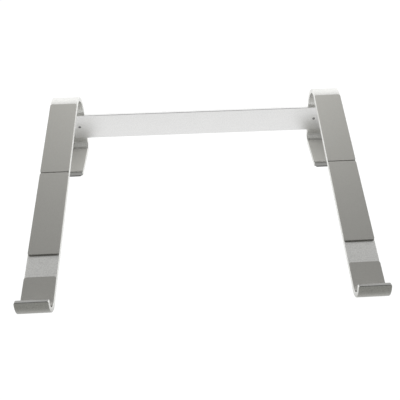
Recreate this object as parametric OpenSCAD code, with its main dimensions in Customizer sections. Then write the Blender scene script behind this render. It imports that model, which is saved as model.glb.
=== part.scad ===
// Laptop stand: two bent flat-bar side pieces joined by a flat crossbar,
// with rubber pads where the laptop lies and where the stand meets the desk.
// +Z is up, +Y is the rear. The origin is on the desk, below the middle of the stand.

/* [Overall] */
// Width across the outer faces of the side bars
overall_w = 286; // [180:1:360]
// Straight length of each arm, between its two bends
arm_len = 225; // [165:1:300]

/* [Bar stock] */
// Width of the flat bar that the side pieces are bent from
bar_w = 26; // [16:1:40]
// Thickness of that flat bar
bar_t = 4; // [3:0.5:6]

/* [Side bar bends] */
// Inside radius of the hook at the front of the arm
hook_r = 9.3; // [6:0.1:14]
// How far the hook leans back past upright, in degrees
hook_lean = 12.5; // [0:0.5:30]
// Straight length at the tip of the hook, before its round corners
hook_tip = 0.6; // [0.2:0.1:8]
// Corner radius at the free ends of the bar
end_corner_r = 1.2; // [0.5:0.1:4]
// Inside radius of the large bend behind the laptop
rear_r = 22; // [12:0.5:30]
// Inside radius of the bend between support and foot
foot_r = 6.5; // [4:0.5:12]
// Length of the foot, from the rear face of the support to its front end
foot_len = 57; // [40:1:110]

/* [Crossbar] */
// Height of the crossbar plate
crossbar_h = 26; // [18:1:32]
// Thickness of the crossbar plate
crossbar_t = 4; // [3:0.5:6]
// Chamfer along the crossbar's long edges
crossbar_edge = 0.4; // [0.1:0.1:0.8]
// Straight stretch of the support above the crossbar, up to the large bend
support_above = 0.86; // [0.2:0.02:6]
// Straight stretch of the support below the crossbar, down to the foot's bend
support_below = 5.6; // [0.2:0.2:12]
// How far each end of the crossbar stops short of the side bar's outer face
crossbar_inset = 0.6; // [0:0.1:3]

/* [Screws] */
// Thread diameter of the countersunk screws
screw_d = 4; // [3:0.5:5]
// Diameter of the screw head
head_d = 7.5; // [6:0.1:9]
// Width across the flats of the hexagon socket
socket_w = 2.5; // [1.5:0.1:3]
// Depth of the hexagon socket
socket_depth = 1.5; // [0.8:0.1:2]
// How far the head sits below the face of the crossbar
head_sink = 0.05; // [0.05:0.05:0.4]
// Distance between the two screws of one side
screw_pitch = 14.6; // [11:0.2:20]
// Gap round the thread in the crossbar
hole_clearance = 0.2; // [0.1:0.05:0.4]
// Gap round the thread in the tapped support
thread_clearance = 0.05; // [0.02:0.01:0.1]
// How far the screw's tip stays inside the support's rear face
screw_tip_gap = 0.4; // [0.1:0.1:1]

/* [Rubber pads] */
// Thickness of the pads that the laptop lies on
pad_t = 1.4; // [0.8:0.1:2.5]
// Bare metal on each side of a pad
pad_margin = 0.25; // [0.1:0.05:2]
// Corner radius of a pad
pad_corner_r = 2; // [0.5:0.1:4]
// Gap between the rear pad and the middle pad
pad_seam = 0.7; // [0.3:0.1:5]
// Gap between the rear pad and the start of the large bend
rear_pad_gap = 0.8; // [0.2:0.1:5]
// Bare metal on the arm between the middle pad and the front pad
bare_len = 21.7; // [5:0.1:60]
// Flat length of the front pad, up to the start of the hook
front_pad_flat = 22.6; // [12:0.2:30]
// How far the front pad runs up inside the hook, in degrees
front_pad_wrap = 48; // [10:1:80]
// Gap between the foot's upper pad and the bend behind it
foot_pad_gap = 0.6; // [0.2:0.1:3]
// Gap between a foot pad and the foot's front end
foot_pad_front = 0.5; // [0.2:0.1:3]

/* [Base pads] */
// Thickness of the pads that stand on the desk
base_t = 1.3; // [0.8:0.1:2.5]
// Bare metal on each side of a base pad
base_margin = 2; // [0.5:0.5:4]
// Flat length of the front base pad under the arm
base_front_flat = 12; // [6:1:25]
// How far the front base pad runs past its lowest line, in degrees
base_front_past = 9; // [4:1:20]

/* [Hidden] */
$fn = 96;
arc_step = 2.5;
overlap = 0.01;
cut = 1;

hook_out_r = hook_r + bar_t;
hook_mid_r = hook_r + bar_t / 2;
hook_tip_len = hook_tip + end_corner_r;
rear_out_r = rear_r + bar_t;
rear_mid_r = rear_r + bar_t / 2;
foot_out_r = foot_r + bar_t;

// Straight height of the support, and how far the large bend's centre is above the hook's
support_len = support_below + crossbar_h + support_above;
bend_rise = foot_out_r + support_len - hook_out_r;

// Slope at which the arm joins the two bends, which lie on opposite sides of it
bends_r = hook_mid_r + rear_mid_r;
arm_slope = asin(bend_rise / norm([arm_len, bends_r])) + atan(bends_r / arm_len);

// Direction up the arm, and the normal of the arm's upper face, in the side view
along = [cos(arm_slope), sin(arm_slope)];
square_up = [-sin(arm_slope), cos(arm_slope)];

// Angles of the bends, counted in the side view from the rearward direction
hook_start = 180 - hook_lean;
hook_end = 270 + arm_slope;
rear_start = 90 + arm_slope;

// Front to rear size, and the centre of each bend in the side view
overall_d = hook_out_r + arm_len * along.x + bends_r * along.y + rear_out_r;
back_y = overall_d / 2;
hook_centre = [hook_out_r - overall_d / 2, base_t + hook_out_r];
rear_centre = hook_centre - bends_r * square_up + arm_len * along;
foot_centre = [back_y - foot_out_r, base_t + foot_out_r];

pad_w = bar_w - 2 * pad_margin;
base_w = bar_w - 2 * base_margin;
long_pad_len = (arm_len - rear_pad_gap - pad_seam - bare_len - front_pad_flat) / 2;
foot_pad_len = foot_len - foot_out_r - foot_pad_gap - foot_pad_front;

crossbar_z = base_t + foot_out_r + support_below;
screw_z = crossbar_z + crossbar_h / 2;
screw_len = crossbar_t + bar_t - head_sink - screw_tip_gap;
head_h = (head_d - screw_d) / 2;
side_x = overall_w / 2 - bar_w / 2;
crossbar_y = back_y - bar_t - crossbar_t;

LEFT = -1;
RIGHT = 1;
INNER = -1;
OUTER = 1;

bar_colour = "silver";
crossbar_colour = "gainsboro";
pad_colour = "gray";
base_colour = "dimgray";
screw_colour = "slategray";

// ---- Side view: x runs to the rear, y runs up, z runs across the bar ----

// Puts a piece drawn in the side view, centred on z = 0, at one side of the stand
module at_side(side) {
    translate([side * side_x, 0, 0]) rotate([90, 0, 90]) children();
}

// Frame on the arm's upper face where the hook ends: x up the slope, y square to the arm
module on_arm() {
    translate(hook_centre - hook_r * square_up) rotate(arm_slope) children();
}

// Points of an arc from one angle to another
function arc(centre, r, from, to) =
    let (n = ceil(abs(to - from) / arc_step))
    [for (i = [0 : n]) let (a = from + (to - from) * i / n) centre + r * [cos(a), sin(a)]];

function reversed(points) = [for (i = [len(points) - 1 : -1 : 0]) points[i]];

// Flat plate in the x-z plane with round corners, from y = 0 up to y = thick
module rounded_plate(length, width, thick, r) {
    translate([0, thick, 0]) rotate([90, 0, 0]) linear_extrude(thick) {
        translate([r, -width / 2]) square([length - 2 * r, width]);
        translate([0, r - width / 2]) square([length, width - 2 * r]);
        for (x = [r, length - r], y = [r - width / 2, width / 2 - r])
            translate([x, y]) circle(r);
    }
}

// Trims a piece drawn a little too long: it then ends at x = 0 with two round corners
module end_trim(width, thick, r) {
    rotate([90, 0, 0]) linear_extrude(2 * thick, center = true) difference() {
        translate([-r, -width / 2 - cut]) square([r + 2 * cut, width + 2 * cut]);
        translate([-2 * r, r - width / 2]) square([2 * r, width - 2 * r]);
        for (z = [r - width / 2, width / 2 - r]) translate([-r, z]) circle(r);
    }
}

// ---- Side bars ----

// One face of the bent bar, from beyond the hook's tip to beyond the foot's front end
function bar_face(hook_face_r, rear_face_r, foot_face_r) = concat(
    [hook_centre + hook_face_r * [cos(hook_start), sin(hook_start)]
        + (hook_tip_len + cut) * [sin(hook_lean), cos(hook_lean)]],
    arc(hook_centre, hook_face_r, hook_start, hook_end),
    arc(rear_centre, rear_face_r, rear_start, 0),
    arc(foot_centre, foot_face_r, 0, -90),
    [[back_y - foot_len - cut, foot_centre.y - foot_face_r]]
);

// Frame at the free end of the hook, on its outer face, x pointing out of the end
module at_hook_end() {
    translate(hook_centre) rotate(90 - hook_lean) translate([hook_tip_len, hook_out_r, 0])
        children();
}

// Frame at the front end of the foot, on its underside, x pointing out of the end
module at_foot_end() {
    translate([back_y - foot_len, base_t, 0]) rotate(180) children();
}

module side_bar(side) {
    upper = bar_face(hook_r, rear_out_r, foot_out_r);
    lower = bar_face(hook_out_r, rear_r, foot_r);
    color(bar_colour) difference() {
        at_side(side) difference() {
            linear_extrude(bar_w, center = true) polygon(concat(upper, reversed(lower)));
            at_hook_end() end_trim(bar_w, 2 * bar_t, end_corner_r);
            at_foot_end() end_trim(bar_w, 2 * bar_t, end_corner_r);
        }
        for (place = [INNER, OUTER]) at_screw(side, place)
            translate([0, 0, crossbar_t - cut])
                cylinder(d = screw_d + 2 * thread_clearance, h = bar_t + 2 * cut);
    }
}

// ---- Crossbar and screws ----

// Frame at a screw's place on the front face of the crossbar, z going to the rear
module at_screw(side, place) {
    translate([side * (side_x + place * screw_pitch / 2), crossbar_y, screw_z])
        rotate([-90, 0, 0]) children();
}

module countersunk_hole() {
    mouth_d = head_d + 2 * head_sink;
    translate([0, 0, -cut])
        cylinder(d = screw_d + 2 * hole_clearance, h = crossbar_t + 2 * cut);
    translate([0, 0, -cut]) cylinder(d = mouth_d, h = cut + overlap);
    cylinder(d1 = mouth_d, d2 = screw_d, h = head_h + head_sink);
}

module crossbar() {
    length = overall_w - 2 * crossbar_inset;
    c = crossbar_edge;
    h = crossbar_h;
    t = crossbar_t;
    color(crossbar_colour) difference() {
        translate([-length / 2, crossbar_y, crossbar_z]) rotate([90, 0, 90])
            linear_extrude(length) polygon([
                [c, 0], [t - c, 0], [t, c], [t, h - c],
                [t - c, h], [c, h], [0, h - c], [0, c]
            ]);
        for (side = [LEFT, RIGHT], place = [INNER, OUTER])
            at_screw(side, place) countersunk_hole();
    }
}

// Countersunk socket screw; its thread is drawn as a plain cylinder
module screw(side, place) {
    across_corners = socket_w / cos(30);
    color(screw_colour) at_screw(side, place) translate([0, 0, head_sink]) difference() {
        union() {
            cylinder(d1 = head_d, d2 = screw_d, h = head_h);
            translate([0, 0, head_h - overlap])
                cylinder(d = screw_d, h = screw_len - head_h + overlap);
        }
        translate([0, 0, -cut]) cylinder(d = across_corners, h = socket_depth + cut, $fn = 6);
    }
}

// ---- Rubber pads under the laptop ----

// A flat pad on the arm; its rear end lies at a distance from the arm's rear end
module arm_pad(side, from_rear, length) {
    color(pad_colour) at_side(side) on_arm() translate([arm_len - from_rear - length, 0, 0])
        rounded_plate(length, pad_w, pad_t, pad_corner_r);
}

module rear_pad(side) {
    arm_pad(side, rear_pad_gap, long_pad_len);
}

module middle_pad(side) {
    arm_pad(side, rear_pad_gap + long_pad_len + pad_seam, long_pad_len);
}

// Strip of even thickness that lies along the arm and on round the hook's bend
module bent_strip(r_from, r_to, wrap_from, flat, width) {
    function face(r) = concat(
        arc(hook_centre, r, wrap_from, hook_end),
        [hook_centre - r * square_up + flat * along]
    );
    linear_extrude(width, center = true) polygon(concat(face(r_from), reversed(face(r_to))));
}

// The front pad lies flat on the arm and then follows the inside of the hook
module front_pad(side) {
    past_hook = 2 * hook_out_r;
    color(pad_colour) at_side(side) intersection() {
        bent_strip(hook_r - pad_t, hook_r, hook_end - front_pad_wrap, front_pad_flat + cut,
                   pad_w + 2 * cut);
        on_arm() translate([-past_hook, -hook_out_r, 0])
            rounded_plate(past_hook + front_pad_flat, pad_w, past_hook, pad_corner_r);
    }
}

// ---- Pads on and under the feet ----

// A flat pad that covers the straight part of the foot, from its place's y = 0 upward
module foot_pad(width, thick) {
    translate([back_y - foot_len + foot_pad_front, 0, 0])
        rounded_plate(foot_pad_len, width, thick, pad_corner_r);
}

module foot_top_pad(side) {
    color(pad_colour) at_side(side) translate([0, base_t + bar_t, 0]) foot_pad(pad_w, pad_t);
}

module foot_base_pad(side) {
    color(base_colour) at_side(side) foot_pad(base_w, base_t);
}

// The front base pad lies along the arm's underside and round the start of the hook
module front_base_pad(side) {
    color(base_colour) at_side(side)
        bent_strip(hook_out_r, hook_out_r + base_t, 270 - base_front_past, base_front_flat, base_w);
}

side_bar(LEFT);  // left_side_bar
side_bar(RIGHT);  // right_side_bar
crossbar();
rear_pad(LEFT);  // left_rear_pad
middle_pad(LEFT);  // left_middle_pad
front_pad(LEFT);  // left_front_pad
rear_pad(RIGHT);  // right_rear_pad
middle_pad(RIGHT);  // right_middle_pad
front_pad(RIGHT);  // right_front_pad
foot_top_pad(LEFT);  // left_foot_top_pad
foot_top_pad(RIGHT);  // right_foot_top_pad
foot_base_pad(LEFT);  // left_foot_base_pad
foot_base_pad(RIGHT);  // right_foot_base_pad
front_base_pad(LEFT);  // left_front_base_pad
front_base_pad(RIGHT);  // right_front_base_pad
screw(LEFT, INNER);  // left_inner_screw
screw(LEFT, OUTER);  // left_outer_screw
screw(RIGHT, INNER);  // right_inner_screw
screw(RIGHT, OUTER);  // right_outer_screw
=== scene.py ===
"""Laptop stand: two arms bent from flat aluminium bar, a flat crossbar, rubber pads, four screws.

Metres, +Z up, +Y to the rear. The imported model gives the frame; the sections below follow the
stand as it is put together: side bars, crossbar, screws, pads, base pads, then the studio.
"""

from math import asin, atan2, cos, pi, radians, sin

import bpy
import numpy as np
from mathutils import Matrix, Vector


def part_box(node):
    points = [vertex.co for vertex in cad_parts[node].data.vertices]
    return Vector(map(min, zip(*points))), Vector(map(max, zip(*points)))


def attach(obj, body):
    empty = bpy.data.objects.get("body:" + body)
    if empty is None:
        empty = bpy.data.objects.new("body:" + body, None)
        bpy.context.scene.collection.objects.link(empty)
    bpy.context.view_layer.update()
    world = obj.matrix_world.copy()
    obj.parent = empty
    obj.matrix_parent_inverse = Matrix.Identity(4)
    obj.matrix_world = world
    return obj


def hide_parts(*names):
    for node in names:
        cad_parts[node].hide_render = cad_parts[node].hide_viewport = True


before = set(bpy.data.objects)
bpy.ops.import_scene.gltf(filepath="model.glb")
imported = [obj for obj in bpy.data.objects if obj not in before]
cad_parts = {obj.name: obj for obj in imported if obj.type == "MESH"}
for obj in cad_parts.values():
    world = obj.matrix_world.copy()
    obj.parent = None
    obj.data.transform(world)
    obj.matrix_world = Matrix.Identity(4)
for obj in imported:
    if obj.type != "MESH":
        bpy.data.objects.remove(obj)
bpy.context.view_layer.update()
SIDES = ("left", "right")

# ---- Side bars -----------------------------------------------------------------------------
# Hook, arm, support and foot are one length of 26 x 4 mm aluminium flat bar. The blank is cut
# with small corner radii, its edges are eased and two holes are tapped near the rear end; then
# it is bent three times, blasted with fine beads and clear anodised.

bar_low, bar_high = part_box("left_side_bar")
BAR_WIDTH = bar_high.x - bar_low.x
BAR_THICK = 0.004
BAR_EDGE = 0.0005
BAR_CORNER = 0.0012
HOOK_R = 0.0093
HOOK_LEAN = radians(12.5)
HOOK_TIP = 0.0018
REAR_R = 0.022
FOOT_R = 0.0065
FOOT_LEN = 0.057
SCREW_PITCH = 0.0146
TAPPED_R = 0.00205
BAR_COLOURS = ((0.69, 0.69, 0.67), (0.89, 0.89, 0.865))

hook_mid, rear_mid, foot_mid = (r + BAR_THICK / 2 for r in (HOOK_R, REAR_R, FOOT_R))
hook_out, rear_out, foot_out = (r + BAR_THICK for r in (HOOK_R, REAR_R, FOOT_R))
hook_centre = Vector((bar_low.y + hook_out, bar_low.z + hook_out))
rear_centre = Vector((bar_high.y - rear_out, bar_high.z - rear_out))
centres_apart = (rear_centre - hook_centre).length
ARM_LEN = (centres_apart**2 - (hook_mid + rear_mid) ** 2) ** 0.5
ARM_SLOPE = atan2(*(rear_centre - hook_centre).yx) + asin((hook_mid + rear_mid) / centres_apart)

# The bar's middle line from the hook's tip to the foot's front end: length and turn of each stretch
TURNS = np.array([0, pi / 2 + HOOK_LEAN + ARM_SLOPE, 0, -pi / 2 - ARM_SLOPE, 0, -pi / 2, 0])
LENGTHS = np.array([
    HOOK_TIP, hook_mid * TURNS[1], ARM_LEN, -rear_mid * TURNS[3],
    rear_centre.y - bar_low.z - foot_out, -foot_mid * TURNS[5], FOOT_LEN - foot_out,
])
STARTS = np.concatenate([[0], np.cumsum(LENGTHS)])
HOOK_AT, ARM_AT, REAR_AT, SUPPORT_AT, FOOT_BEND_AT, FOOT_AT, BAR_LEN = STARTS[1:]
first_heading = -pi / 2 - HOOK_LEAN
HEADINGS = first_heading + np.concatenate([[0], np.cumsum(TURNS)])[:-1]


def chord(length, heading, turn):
    """End of a stretch that turns steadily: it lies length x sin(turn/2) / (turn/2) away, along
    the mean of its first and last headings."""
    reach = length * np.sinc(turn / 2 / pi)
    return np.stack([reach * np.cos(heading + turn / 2), reach * np.sin(heading + turn / 2)], -1)


tip = hook_centre + hook_mid * Vector((-cos(HOOK_LEAN), sin(HOOK_LEAN)))
tip += HOOK_TIP * Vector((sin(HOOK_LEAN), cos(HOOK_LEAN)))
CORNERS = np.array(tip) + np.concatenate([[(0, 0)], np.cumsum(chord(LENGTHS, HEADINGS, TURNS), 0)])


def on_bar(points, side, start=0.0, height=0.0):
    """Bends a flat piece along the bar: x becomes the distance along the bar's middle line, from
    start; y runs across the bar; z + height is the distance off that line towards the upper face."""
    s = points[:, 0] + start
    k = np.clip(np.searchsorted(STARTS, s, side="right") - 1, 0, len(LENGTHS) - 1)
    gone = s - STARTS[k]
    turn = TURNS[k] * gone / LENGTHS[k]
    line = CORNERS[k] + chord(gone, HEADINGS[k], turn)
    heading = HEADINGS[k] + turn
    off = points[:, 2] + height
    low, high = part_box(f"{side}_side_bar")
    across = (low.x + high.x) / 2 - points[:, 1]
    return np.stack([across, line[:, 0] - off * np.sin(heading), line[:, 1] + off * np.cos(heading)], 1)


def rim(grid):
    """The point numbers round the outside of a grid, counter-clockwise seen from above."""
    return np.concatenate([grid[:-1, 0], grid[-1, :-1], grid[:0:-1, -1], grid[0, :0:-1]])


def bands(loops):
    """Quads that join each closed loop of points to the next one."""
    a, b = loops[:-1], loops[1:]
    return np.stack([a, b, np.roll(b, -1, 1), np.roll(a, -1, 1)], -1).reshape(-1, 4)


def stations(*stretches):
    """Places along a line: each stretch (from, to, parts) is divided evenly, joins counted once."""
    places = np.concatenate([np.linspace(a, b, n + 1) for a, b, n in stretches])
    return np.unique(places.round(7))


CORNER_STEPS = 7
EDGE_STEPS = 6
NEARLY = 1e-6


def slab(length, width, thick, corner, edge, along, across, holes=()):
    """Points and faces of a flat plate, x from 0 to length, y centred, z from 0 to thick.

    Plan: between its ends the half width is width/2 - inset; near an end, rows lie at
    x = corner - r cos(a) with half width width/2 - corner + r sin(a), r = corner - inset.
    Edge: a quarter circle, inset = edge (1 - sin(b)) at edge (1 - cos(b)) from the face.
    Each hole is (x, y, half size of the window cut in the grid, [(radius, z), ...])."""
    a = np.linspace(0, pi / 2, CORNER_STEPS)
    along = along[(along > corner + NEARLY) & (along < length - corner - NEARLY)]
    columns = across / (width / 2 - edge)

    def plan(inset):
        r = corner - inset
        ends = corner - r * np.cos(a)
        x = np.concatenate([ends, along, length - ends[::-1]])
        half_end = width / 2 - corner + r * np.sin(a)
        half = np.concatenate([half_end, np.full(len(along), width / 2 - inset), half_end[::-1]])
        return np.repeat(x, len(columns)), np.outer(half, columns).ravel()

    x, y = plan(edge)
    rows = len(x) // len(columns)
    top = np.arange(len(x)).reshape(rows, -1)
    bottom = top + len(x)
    points = [np.stack([x, y, np.full_like(x, thick)], 1), np.stack([x, y, np.zeros_like(x)], 1)]
    count = 2 * len(x)

    b = np.linspace(0, pi / 2, EDGE_STEPS)[1:]
    insets = edge * (1 - np.sin(b))
    drops = edge * (1 - np.cos(b))
    loops = [rim(top)]
    for inset, z in zip([*insets, *insets[::-1]], [*(thick - drops), *drops[::-1]]):
        px, py = plan(inset)
        loop = rim(top)
        points.append(np.stack([px[loop], py[loop], np.full(len(loop), z)], 1))
        loops.append(np.arange(count, count + len(loop)))
        count += len(loop)
    faces = [bands(np.array([*loops, rim(bottom)]))]

    kept = np.ones((rows - 1, len(columns) - 1), bool)
    for hx, hy, half, profile in holes:
        i = np.flatnonzero(np.abs(x.reshape(rows, -1)[:, 0] - hx) < half + NEARLY)
        j = np.flatnonzero(np.abs(across - hy) < half + NEARLY)
        window = np.ix_(i, j)
        kept[i[0]:i[-1], j[0]:j[-1]] = False
        loop = rim(top[window])
        angle = np.arctan2(y[loop] - hy, x[loop] - hx)
        loops = [loop]
        for radius, z in profile:
            ring = [hx + radius * np.cos(angle), hy + radius * np.sin(angle), np.full(len(loop), z)]
            points.append(np.stack(ring, 1))
            loops.append(np.arange(count, count + len(loop)))
            count += len(loop)
        faces.append(bands(np.array([*loops, rim(bottom[window])]))[:, ::-1])

    for grid, order in ((top, [0, 1, 2, 3]), (bottom, [3, 2, 1, 0])):
        quads = np.stack([grid[:-1, :-1], grid[1:, :-1], grid[1:, 1:], grid[:-1, 1:]], -1)
        faces.append(quads[kept][:, order])
    return np.concatenate(points), np.concatenate(faces)


def make_piece(name, points, faces, material, slot, *nodes):
    """One closed, smooth mesh at the origin that stands for CAD nodes."""
    mesh = bpy.data.meshes.new(name)
    mesh.from_pydata(points.tolist(), [], faces if isinstance(faces, list) else faces.tolist())
    mesh.shade_smooth()
    mesh.materials.append(material)
    piece = bpy.data.objects.new(name, mesh)
    bpy.context.scene.collection.objects.link(piece)
    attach(piece, "root")
    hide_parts(*nodes)
    return piece


def add_node(tree, kind, **values):
    """A new shader node; values set its sockets, spaces in their names written as underscores."""
    node = tree.nodes.new(kind)
    for key, value in values.items():
        socket = node.inputs[key.replace("_", " ")]
        if isinstance(value, bpy.types.NodeSocket):
            tree.links.new(value, socket)
        else:
            socket.default_value = value
    return node


FINE_DETAIL = {"Detail": 3.0, "Roughness": 0.65}
BROAD_DETAIL = {"Detail": 2.0, "Roughness": 0.5}


def surface_texture():
    """Group: fine grain and faint clouds on a surface, as masks from 0 to 1, and its normal."""
    tree = bpy.data.node_groups.new("fine_grain_and_clouds", "ShaderNodeTree")
    for name in ("Grain Scale", "Grain Depth", "Cloud Scale"):
        tree.interface.new_socket(name, in_out="INPUT", socket_type="NodeSocketFloat")
    tree.interface.new_socket("Grain", in_out="OUTPUT", socket_type="NodeSocketFloat")
    tree.interface.new_socket("Clouds", in_out="OUTPUT", socket_type="NodeSocketFloat")
    tree.interface.new_socket("Normal", in_out="OUTPUT", socket_type="NodeSocketVector")
    given = tree.nodes.new("NodeGroupInput")
    where = tree.nodes.new("ShaderNodeTexCoord").outputs["Object"]
    fine = add_node(tree, "ShaderNodeTexNoise", Vector=where, Scale=given.outputs["Grain Scale"],
                    **FINE_DETAIL)
    broad = add_node(tree, "ShaderNodeTexNoise", Vector=where, Scale=given.outputs["Cloud Scale"],
                     **BROAD_DETAIL)
    bump = add_node(tree, "ShaderNodeBump", Height=fine.outputs["Fac"],
                    Distance=given.outputs["Grain Depth"], Strength=1.0)
    result = tree.nodes.new("NodeGroupOutput")
    tree.links.new(fine.outputs["Fac"], result.inputs["Grain"])
    tree.links.new(broad.outputs["Fac"], result.inputs["Clouds"])
    tree.links.new(bump.outputs["Normal"], result.inputs["Normal"])
    return tree


SURFACE = surface_texture()
# The grain mask's middle part, over which a base colour runs from its first tone to its second
TONES_FROM = 0.3
TONES_TO = 0.7


def grained_material(name, colours, roughness, grain, depth, clouds, metallic=0.0, specular=0.5):
    """Colour runs between two tones with the grain, roughness between two values with the clouds."""
    material = bpy.data.materials.new(name)
    material.use_nodes = True
    tree = material.node_tree
    shader = tree.nodes["Principled BSDF"]
    shader.inputs["Metallic"].default_value = metallic
    shader.inputs["Specular IOR Level"].default_value = specular
    texture = tree.nodes.new("ShaderNodeGroup")
    texture.node_tree = SURFACE
    texture.inputs["Grain Scale"].default_value = grain
    texture.inputs["Grain Depth"].default_value = depth
    texture.inputs["Cloud Scale"].default_value = clouds
    tone = tree.nodes.new("ShaderNodeValToRGB")
    tone.color_ramp.elements[0].position = TONES_FROM
    tone.color_ramp.elements[1].position = TONES_TO
    for element, colour in zip(tone.color_ramp.elements, colours):
        element.color = (*colour, 1)
    tree.links.new(texture.outputs["Grain"], tone.inputs["Fac"])
    tree.links.new(tone.outputs["Color"], shader.inputs["Base Color"])
    spread = add_node(tree, "ShaderNodeMapRange", Value=texture.outputs["Clouds"],
                      To_Min=roughness[0], To_Max=roughness[1])
    tree.links.new(spread.outputs["Result"], shader.inputs["Roughness"])
    tree.links.new(texture.outputs["Normal"], shader.inputs["Normal"])
    return material


bar_metal = grained_material("blasted_anodised_bar", BAR_COLOURS, roughness=(0.36, 0.44), grain=900,
                             depth=0.00004, clouds=60, metallic=1.0)
# Socket numbers of a colour mix: factor, first colour, second colour and result
MIX_FACTOR = 0
MIX_FIRST = 6
MIX_SECOND = 7
MIX_RESULT = 2


def second_tone(material, colour):
    """The base colour turns to another one where U of the piece's own map is 1."""
    tree = material.node_tree
    base = tree.nodes["Principled BSDF"].inputs["Base Color"]
    own_map = tree.nodes.new("ShaderNodeUVMap").outputs["UV"]
    marked = add_node(tree, "ShaderNodeSeparateXYZ", Vector=own_map)
    mix = tree.nodes.new("ShaderNodeMix")
    mix.data_type = "RGBA"
    mix.inputs[MIX_SECOND].default_value = (*colour, 1)
    tree.links.new(marked.outputs["X"], mix.inputs[MIX_FACTOR])
    tree.links.new(base.links[0].from_socket, mix.inputs[MIX_FIRST])
    tree.links.new(mix.outputs[MIX_RESULT], base)


def mark(piece, marked):
    """Gives a piece its own map: U is 1 at the marked points and 0 elsewhere."""
    at = np.empty(len(piece.data.loops), int)
    piece.data.loops.foreach_get("vertex_index", at)
    uv = np.zeros((len(at), 2))
    uv[:, 0] = marked[at]
    piece.data.uv_layers.new(name="UVMap").data.foreach_set("uv", uv.ravel())


# The bar's end faces are painted darker than its blasted faces: painted shade, for the shade they sit in
END_FACES_PAINTED_SHADE = (0.30, 0.30, 0.29)
second_tone(bar_metal, END_FACES_PAINTED_SHADE)

screw_at = (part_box("left_inner_screw")[0].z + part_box("left_inner_screw")[1].z) / 2
hole_at = SUPPORT_AT + rear_centre.y - screw_at
WINDOW = 0.0052
hole_side = SCREW_PITCH / 2
edge_line = BAR_WIDTH / 2 - BAR_EDGE
bar_across = stations((-edge_line, -hole_side - WINDOW, 1), (-hole_side - WINDOW, -hole_side + WINDOW, 10),
                      (hole_side - WINDOW, hole_side + WINDOW, 10), (hole_side + WINDOW, edge_line, 1))
SETTLE = 0.0008
bar_along = stations(
    (0, HOOK_AT, 3), (HOOK_AT, ARM_AT, 44),
    (ARM_AT + SETTLE, REAR_AT - SETTLE, 12), (REAR_AT, SUPPORT_AT, 40),
    (SUPPORT_AT + SETTLE, hole_at - WINDOW, 3), (hole_at - WINDOW, hole_at + WINDOW, 10),
    (hole_at + WINDOW, FOOT_BEND_AT - SETTLE, 3), (FOOT_BEND_AT, FOOT_AT, 34),
    (FOOT_AT + SETTLE, BAR_LEN - BAR_CORNER, 6))
BREAK = 0.00005
HOLD = 0.00015
# Broken hole edges; the ring at HOLD keeps the bevel's shading off the flat face beside it
tapped = [(TAPPED_R + HOLD, BAR_THICK), (TAPPED_R + BREAK, BAR_THICK), (TAPPED_R, BAR_THICK - BREAK),
          (TAPPED_R, BREAK), (TAPPED_R + BREAK, 0), (TAPPED_R + HOLD, 0)]
for side in SIDES:
    points, faces = slab(BAR_LEN, BAR_WIDTH, BAR_THICK, BAR_CORNER, BAR_EDGE, bar_along, bar_across,
                         [(hole_at, y, WINDOW, tapped) for y in (-hole_side, hole_side)])
    from_end = np.minimum(points[:, 0], BAR_LEN - points[:, 0])
    points = on_bar(points, side, height=-BAR_THICK / 2)
    bar = make_piece(f"{side}_bent_bar", points, faces, bar_metal, "anodised_bar", f"{side}_side_bar")
    # U is 1 on the bar's end faces, which take the painted shade colour
    mark(bar, from_end < BAR_EDGE / 2)

# ---- Crossbar ------------------------------------------------------------------------------
# A plain length of the same flat bar, screwed flat against the front of the two supports.
# It is countersunk for two screws at each end, blasted and anodised like the side bars.

cross_low, cross_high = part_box("crossbar")
CROSS_LEN = cross_high.x - cross_low.x
CROSS_HEIGHT = cross_high.z - cross_low.z
CROSS_THICK = cross_high.y - cross_low.y
CROSS_EDGE = 0.0004
CROSS_CORNER = 0.0006
MOUTH_R = 0.0038
CLEAR_R = 0.0022
SINK_CLEARANCE = 0.0002
SINK_DEPTH = MOUTH_R - CLEAR_R + SINK_CLEARANCE


def facing_front(points, x, y, z):
    """Stands a flat piece upright with its top to the front: its x runs along X and its y up."""
    return np.stack([x + points[:, 0], y - points[:, 2], z + points[:, 1]], 1)


CROSS_COLOURS = ((0.74, 0.74, 0.735), (0.84, 0.84, 0.835))
cross_metal = grained_material("blasted_anodised_crossbar", CROSS_COLOURS,
                               roughness=(0.30, 0.36), grain=900,
                               depth=0.00004, clouds=60, metallic=1.0)
cone_foot = CROSS_THICK - SINK_DEPTH
countersunk = [(MOUTH_R + HOLD, CROSS_THICK), (MOUTH_R + BREAK, CROSS_THICK),
               (MOUTH_R, CROSS_THICK - BREAK), (CLEAR_R + BREAK, cone_foot + BREAK),
               (CLEAR_R, cone_foot - BREAK), (CLEAR_R, BREAK), (CLEAR_R + BREAK, 0), (CLEAR_R + HOLD, 0)]
arm_at = (bar_low.x + bar_high.x) / 2 - cross_low.x
holes_x = [arm_at - hole_side, arm_at + hole_side]
holes_x += [CROSS_LEN - x for x in reversed(holes_x)]
cross_line = CROSS_HEIGHT / 2 - CROSS_EDGE
cross_across = stations((-cross_line, -cross_line + SETTLE, 1), (-cross_line + SETTLE, -WINDOW, 2),
                        (-WINDOW, WINDOW, 10), (WINDOW, cross_line - SETTLE, 2),
                        (cross_line - SETTLE, cross_line, 1))
cross_along = stations((0, holes_x[0] - WINDOW, 3), *[(x - WINDOW, x + WINDOW, 10) for x in holes_x],
                       (holes_x[1] + WINDOW, holes_x[2] - WINDOW, 12), (holes_x[3] + WINDOW, CROSS_LEN, 3))
points, faces = slab(CROSS_LEN, CROSS_HEIGHT, CROSS_THICK, CROSS_CORNER, CROSS_EDGE, cross_along,
                     cross_across, [(x, 0, WINDOW, countersunk) for x in holes_x])
points = facing_front(points, cross_low.x, cross_high.y, (cross_low.z + cross_high.z) / 2)
make_piece("countersunk_crossbar", points, faces, cross_metal, "anodised_crossbar", "crossbar")

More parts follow.
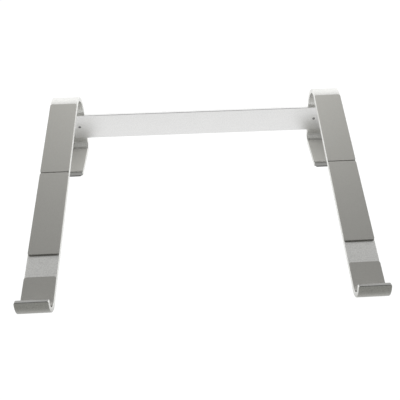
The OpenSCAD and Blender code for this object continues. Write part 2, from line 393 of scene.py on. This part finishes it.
# ---- Screws --------------------------------------------------------------------------------
# M4 countersunk socket screws of plain steel, two at each end of the crossbar. They pass
# through it into the tapped holes of the supports, and their heads sit just below its face.

SCREW_R = 0.002
SOCKET_FLATS = 0.0025
SOCKET_R = SOCKET_FLATS / 2 / cos(pi / 6)
SOCKET_FLOOR_R = SOCKET_R * 0.6
SOCKET_DEPTH = 0.0015
TIP_CHAMFER = 0.0005
HEAD_FLATNESS = 0.8
TURN_STEPS = 48


def turned(profile):
    """Points and faces of a turned shape, as loops of radius r at height z. Where flatness is 1
    the loop is a hexagon: its radius is r cos(30) / cos(angle from the middle of a flat)."""
    angle = np.arange(TURN_STEPS) * 2 * pi / TURN_STEPS
    hexagon = cos(pi / 6) / np.cos(angle % (pi / 3) - pi / 6)
    r, z, flatness = (np.array(column)[:, None] for column in zip(*profile))
    radius = r * (1 + flatness * (hexagon - 1))
    points = np.stack([radius * np.cos(angle), radius * np.sin(angle), z + 0 * angle], -1)
    loops = np.arange(points.shape[0] * TURN_STEPS).reshape(-1, TURN_STEPS)
    faces = bands(loops).tolist()
    return points.reshape(-1, 3), [loops[0].tolist(), *faces, loops[-1, ::-1].tolist()]


STEEL_COLOURS = ((0.74, 0.74, 0.73), (0.82, 0.82, 0.81))
steel = grained_material("plain_steel", STEEL_COLOURS, roughness=(0.28, 0.38), grain=4000,
                         depth=0.00001, clouds=300, metallic=1.0)
# The hex socket is painted darker: painted shade for the shade inside its recess
SOCKET_PAINTED_SHADE = (0.38, 0.38, 0.38)
SOCKET_LOOPS = 4
second_tone(steel, SOCKET_PAINTED_SHADE)
for side in SIDES:
    for place in ("inner", "outer"):
        node = f"{side}_{place}_screw"
        low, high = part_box(node)
        length = high.y - low.y
        head_r = (high.x - low.x) / 2
        cone = head_r - SCREW_R
        profile = [
            (SOCKET_FLOOR_R, length - SOCKET_DEPTH, 1), (SOCKET_R, length - SOCKET_DEPTH + BREAK, 1),
            (SOCKET_R, length - BREAK, 1), (SOCKET_R + BREAK, length, 1),
            (SOCKET_R + HOLD, length, HEAD_FLATNESS), (head_r - HOLD, length, 0),
            (head_r - BREAK, length, 0), (head_r, length - BREAK, 0),
            (head_r - BREAK, length - 2 * BREAK, 0),
            (SCREW_R + BREAK, length - cone + BREAK, 0), (SCREW_R, length - cone - BREAK, 0),
            (SCREW_R, TIP_CHAMFER, 0), (SCREW_R - TIP_CHAMFER, 0, 0)]
        points, faces = turned(profile)
        points = facing_front(points, (low.x + high.x) / 2, high.y, (low.z + high.z) / 2)
        screw = make_piece(f"{side}_{place}_socket_screw", points, faces, steel, "screw_steel", node)
        # The socket's loops are marked for the painted shade colour
        mark(screw, np.arange(len(points)) < SOCKET_LOOPS * TURN_STEPS)

# ---- Pads under the laptop and on the feet -------------------------------------------------
# Cut from matt grey rubber sheet with small corner radii and stuck on the metal: a rear, a middle
# and a front one on each arm, of which the front one runs up inside the hook, and one on each foot.

PAD_THICK = 0.0014
PAD_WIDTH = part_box("left_rear_pad")[1].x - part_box("left_rear_pad")[0].x
PAD_CORNER = 0.002
PAD_EDGE = 0.00035
LONG_PAD = 0.0896
REAR_GAP = 0.0008
PAD_SEAM = 0.0007
FRONT_FLAT = 0.0226
FRONT_WRAP = radians(48)
FOOT_PAD_GAP = 0.0006
FOOT_PAD_FRONT = 0.0005
foot_pad_len = FOOT_LEN - foot_out - FOOT_PAD_GAP - FOOT_PAD_FRONT

FLAT_PITCH = 0.01
BENT_PITCH = 0.0005
PAD_COLOURS = ((0.325, 0.32, 0.30), (0.375, 0.37, 0.345))
# The foot pads take a lighter copy of the pad rubber: painted light, for light the shaded feet lack
FOOT_PAD_PAINTED_LIGHT_COLOURS = ((0.38, 0.375, 0.35), (0.43, 0.425, 0.40))

rubber, foot_rubber_painted_light = (
    grained_material(name, colours, roughness=(0.55, 0.68), grain=1500, depth=0.00006, clouds=25,
                     specular=0.4)
    for name, colours in (("matt_grey_rubber", PAD_COLOURS), ("foot_rubber_painted_lighter", FOOT_PAD_PAINTED_LIGHT_COLOURS)))


def sheet_pad(length, width, thick, corner, edge, pitch):
    """A pad's flat blank, with a row of points every pitch along it."""
    line = width / 2 - edge
    across = stations((-line, -line + edge, 1), (-line + edge, line - edge, 8), (line - edge, line, 1))
    along = stations((corner, corner + edge, 1), (corner + edge, length - corner - edge,
                     int(length / pitch)), (length - corner - edge, length - corner, 1))
    return slab(length, width, thick, corner, edge, along, across)


arm_pads = {
    "rear_pad": (REAR_AT - REAR_GAP - LONG_PAD, LONG_PAD, FLAT_PITCH),
    "middle_pad": (REAR_AT - REAR_GAP - LONG_PAD - PAD_SEAM - LONG_PAD, LONG_PAD, FLAT_PITCH),
    "front_pad": (ARM_AT - FRONT_WRAP * hook_mid, FRONT_FLAT + FRONT_WRAP * hook_mid, BENT_PITCH),
}
for side in SIDES:
    for name, (start, length, pitch) in arm_pads.items():
        points, faces = sheet_pad(length, PAD_WIDTH, PAD_THICK, PAD_CORNER, PAD_EDGE, pitch)
        points = on_bar(points, side, start, BAR_THICK / 2)
        make_piece(f"{side}_{name}_sheet", points, faces, rubber, "pad_rubber", f"{side}_{name}")
    points, faces = sheet_pad(foot_pad_len, PAD_WIDTH, PAD_THICK, PAD_CORNER, PAD_EDGE, FLAT_PITCH)
    points = on_bar(points, side, FOOT_AT + FOOT_PAD_GAP, -BAR_THICK / 2 - PAD_THICK)
    make_piece(f"{side}_foot_top_pad_sheet", points, faces, foot_rubber_painted_light, "pad_rubber",
               f"{side}_foot_top_pad")

# ---- Base pads -----------------------------------------------------------------------------
# Thin dark rubber strips that keep the stand from sliding: one under each foot, and one under
# the front end of each arm, bent to the underside of the hook. They are stuck on as well.

BASE_THICK = 0.0013
BASE_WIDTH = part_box("left_foot_base_pad")[1].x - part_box("left_foot_base_pad")[0].x
BASE_EDGE = 0.0003
BASE_CORNER = 0.0004
FRONT_BASE_FLAT = 0.012
FRONT_BASE_PAST = radians(9)

BASE_COLOURS = ((0.05, 0.05, 0.05), (0.08, 0.08, 0.08))
base_rubber = grained_material("dark_base_rubber", BASE_COLOURS, roughness=(0.6, 0.75), grain=1500,
                               depth=0.00008, clouds=40, specular=0.4)
front_base_wrap = (ARM_SLOPE + FRONT_BASE_PAST) * hook_mid
for side in SIDES:
    points, faces = sheet_pad(foot_pad_len, BASE_WIDTH, BASE_THICK, PAD_CORNER, BASE_EDGE, FLAT_PITCH)
    points = on_bar(points, side, FOOT_AT + FOOT_PAD_GAP, BAR_THICK / 2)
    make_piece(f"{side}_foot_base_strip", points, faces, base_rubber, "base_rubber",
               f"{side}_foot_base_pad")
    points, faces = sheet_pad(front_base_wrap + FRONT_BASE_FLAT, BASE_WIDTH, BASE_THICK, BASE_CORNER,
                              BASE_EDGE, BENT_PITCH)
    points = on_bar(points, side, ARM_AT - front_base_wrap, -BAR_THICK / 2 - BASE_THICK)
    make_piece(f"{side}_front_base_strip", points, faces, base_rubber, "base_rubber",
               f"{side}_front_base_pad")

# ---- Studio --------------------------------------------------------------------------------
# A white table in a tent lit through its side and rear walls, with a soft lamp above the crossbar.
# The metal mirrors the front of the tent in half shade and the table's glow with painted shade at its
# front; the camera sees both as plain white.

FLOOR_HALF = 3.0
FLOOR_GAP = 0.0001
FLOOR_TONE = (0.08, 0.08, 0.08, 1)
SHADE_FROM = -0.2
SHADE_TO = -0.108
# The table's glow as the metal mirrors it: painted shade at its front (0), painted light at its lit part
# (1)
PAINTED_TABLE_GLOW = ((0.0, (0.27, 0.27, 0.25)), (0.45, (0.2, 0.2, 0.185)), (0.65, (0.25, 0.25, 0.235)),
            (1.0, (0.94, 0.94, 0.94)))
floor_mesh = bpy.data.meshes.new("floor")
floor_mesh.from_pydata([(-FLOOR_HALF, -FLOOR_HALF, 0), (FLOOR_HALF, -FLOOR_HALF, 0),
                        (FLOOR_HALF, FLOOR_HALF, 0), (-FLOOR_HALF, FLOOR_HALF, 0)], [], [(0, 1, 2, 3)])
floor_mesh.transform(Matrix.Translation((0, 0, -FLOOR_GAP)))
floor = bpy.data.objects.new("floor", floor_mesh)
bpy.context.scene.collection.objects.link(floor)
white = bpy.data.materials.new("light_table")
white.use_nodes = True
tree = white.node_tree
paper = tree.nodes["Principled BSDF"]
paper.inputs["Roughness"].default_value = 1.0
paper.inputs["Specular IOR Level"].default_value = 0.0
paper.inputs["Base Color"].default_value = FLOOR_TONE
paper.inputs["Emission Strength"].default_value = 1.0
floor_place = add_node(tree, "ShaderNodeSeparateXYZ",
                       Vector=tree.nodes.new("ShaderNodeTexCoord").outputs["Object"])
rearward = add_node(tree, "ShaderNodeMapRange", Value=floor_place.outputs["Y"],
                    From_Min=SHADE_FROM, From_Max=SHADE_TO)
mirrored = tree.nodes.new("ShaderNodeValToRGB")


def set_stops(ramp, stops):
    """Gives a colour ramp its stops, each a place from 0 to 1 and a colour."""
    for place, colour in stops[1:-1]:
        ramp.new(place)
    for (place, colour), element in zip(stops, ramp):
        element.color = (*colour, 1)


set_stops(mirrored.color_ramp.elements, PAINTED_TABLE_GLOW)
tree.links.new(rearward.outputs["Result"], mirrored.inputs["Fac"])


def white_to_camera(tree, lighting):
    """White where the camera looks at it directly, the given light everywhere else."""
    seen = tree.nodes.new("ShaderNodeMix")
    seen.data_type = "RGBA"
    seen.inputs[MIX_SECOND].default_value = (1, 1, 1, 1)
    camera_ray = tree.nodes.new("ShaderNodeLightPath").outputs["Is Camera Ray"]
    tree.links.new(camera_ray, seen.inputs[MIX_FACTOR])
    tree.links.new(lighting, seen.inputs[MIX_FIRST])
    return seen.outputs[MIX_RESULT]


# The table glows: plain white to the camera, its painted shade and light to everything else
tree.links.new(white_to_camera(tree, mirrored.outputs["Color"]), paper.inputs["Emission Color"])
floor_mesh.materials.append(white)

world = bpy.data.worlds.new("white_tent")
world.use_nodes = True
bpy.context.scene.world = world
tree = world.node_tree
toward = add_node(tree, "ShaderNodeSeparateXYZ",
                  Vector=tree.nodes.new("ShaderNodeTexCoord").outputs["Generated"])
rearward = add_node(tree, "ShaderNodeMapRange", Value=toward.outputs["Y"], From_Min=-1.0, From_Max=1.0)
tent = tree.nodes.new("ShaderNodeValToRGB")
# Brightness of the tent from its front (0) over its roof (0.5) to its rear (1)
TENT = ((0.0, 0.0), (0.5, 0.1), (0.7, 0.53), (0.8, 1.14), (1.0, 1.22))
SIDE_GLOW = 0.82
set_stops(tent.color_ramp.elements, [(place, (level, level, level)) for place, level in TENT])
tree.links.new(rearward.outputs["Result"], tent.inputs["Fac"])
# The side walls add side glow x X squared
sideways = tree.nodes.new("ShaderNodeMath")
sideways.operation = "MULTIPLY"
walls = tree.nodes.new("ShaderNodeMath")
walls.operation = "MULTIPLY_ADD"
walls.inputs[1].default_value = SIDE_GLOW
for socket in sideways.inputs[:2]:
    tree.links.new(toward.outputs["X"], socket)
tree.links.new(sideways.outputs[0], walls.inputs[0])
tree.links.new(tent.outputs["Color"], walls.inputs[2])
tree.links.new(white_to_camera(tree, walls.outputs[0]), tree.nodes["Background"].inputs["Color"])

LAMP_AT = (0.01, 0.12, 0.32)
LAMP_SIZE = (0.3, 0.2)
LAMP_WATTS = 0.8
lamp_data = bpy.data.lights.new("soft_lamp", "AREA")
lamp_data.shape = "RECTANGLE"
lamp_data.size, lamp_data.size_y = LAMP_SIZE
lamp_data.energy = LAMP_WATTS
lamp = bpy.data.objects.new("soft_lamp", lamp_data)
lamp.location = LAMP_AT
lamp.visible_glossy = False
bpy.context.scene.collection.objects.link(lamp)

CAMERA_AT = (-0.00101, -0.52909, 0.37022)
CAMERA_YAW = radians(3.257)
CAMERA_DOWN = radians(33.855)
CAMERA_ROLL = radians(-0.606)
SENSOR_MM = 36
LENS_MM = 62.70
SHIFT_SIDEWAYS = -0.082
NEAREST_SEEN = 0.01
camera_data = bpy.data.cameras.new("camera")
camera_data.sensor_width = SENSOR_MM
camera_data.lens = LENS_MM
camera_data.shift_x = SHIFT_SIDEWAYS
camera_data.clip_start = NEAREST_SEEN
camera = bpy.data.objects.new("camera", camera_data)
camera.matrix_world = (
    Matrix.Translation(CAMERA_AT) @ Matrix.Rotation(-CAMERA_YAW, 4, "Z")
    @ Matrix.Rotation(pi / 2 - CAMERA_DOWN, 4, "X") @ Matrix.Rotation(CAMERA_ROLL, 4, "Z"))
bpy.context.scene.collection.objects.link(camera)
bpy.context.scene.camera = camera
bpy.context.scene.view_settings.view_transform = "Standard"
